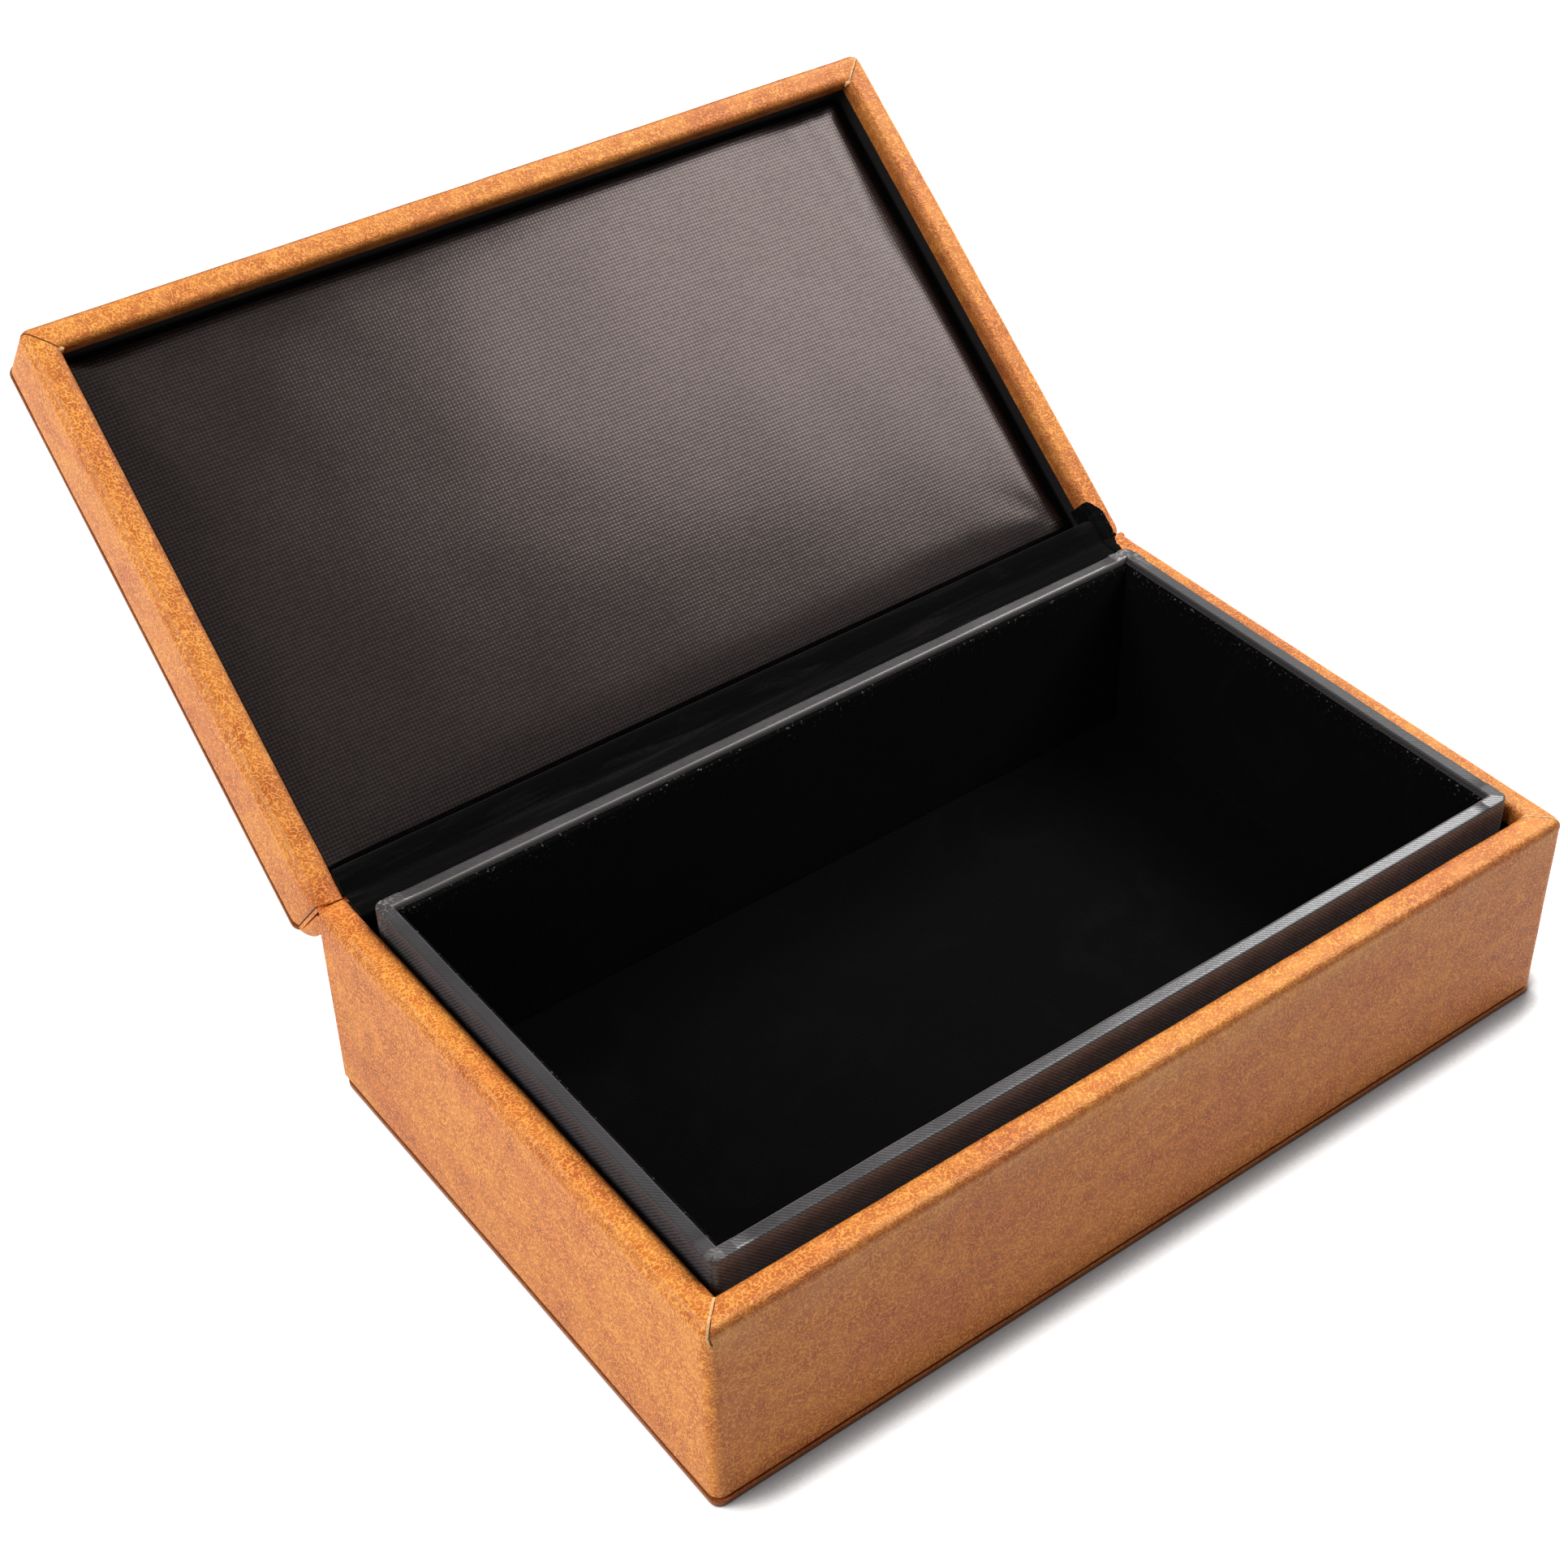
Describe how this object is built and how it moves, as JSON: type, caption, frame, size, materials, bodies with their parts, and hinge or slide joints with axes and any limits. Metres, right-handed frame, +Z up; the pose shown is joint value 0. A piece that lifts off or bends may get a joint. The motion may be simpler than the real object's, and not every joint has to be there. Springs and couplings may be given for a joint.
{
  "type": "faraday key box",
  "caption": "Hinged key box in tan imitation leather, with a cloth-wrapped shielding collar, a velvet-lined cavity for keys and a padded lid.",
  "frame": {"origin": "middle of the base's underside", "axes": "+Z up, -Y to the front, +Y to the hinge, +X along the hinge line to the right as seen from the front"},
  "size_m": [0.22, 0.253, 0.1352],
  "materials": {
    "tan_leather": "satin",
    "board": "matte",
    "card": "matte",
    "conductive_cloth": "satin",
    "velvet": "matte",
    "pad_satin": "satin",
    "foam": "matte",
    "lining_paper": "matte"
  },
  "bodies": {
    "base": {"base_bottom_card": "card", "base_bottom_leather": "tan_leather", "base_floor_board": "board", "base_front_board": "board", "base_back_board": "board", "base_left_board": "board", "base_right_board": "board", "base_wall_leather": "tan_leather", "base_back_leather": "tan_leather", "collar_front_board": "board", "collar_back_board": "board", "collar_left_board": "board", "collar_right_board": "board", "collar_cloth": "conductive_cloth", "floor_shield_cloth": "conductive_cloth", "velvet_floor": "velvet", "velvet_front": "velvet", "velvet_back": "velvet", "velvet_left": "velvet", "velvet_right": "velvet", "hinge_flap": "velvet"},
    "lid": {"lid_top_card": "card", "lid_top_leather": "tan_leather", "lid_panel_board": "board", "lid_front_board": "board", "lid_back_board": "board", "lid_left_board": "board", "lid_right_board": "board", "lid_wall_leather": "tan_leather", "lid_lining": "lining_paper", "lid_pad_card": "card", "lid_pad_foam": "foam", "lid_pad_cloth": "pad_satin", "spine_leather": "tan_leather"}
  },
  "joints": [
    {"name": "lid_hinge", "type": "hinge", "parent": "base", "child": "lid", "pos_m": [0, 0.068, 0.049], "axis": [1, 0, 0], "range_deg": [0, 140], "deforming": ["spine_leather", "hinge_flap"]}
  ]
}
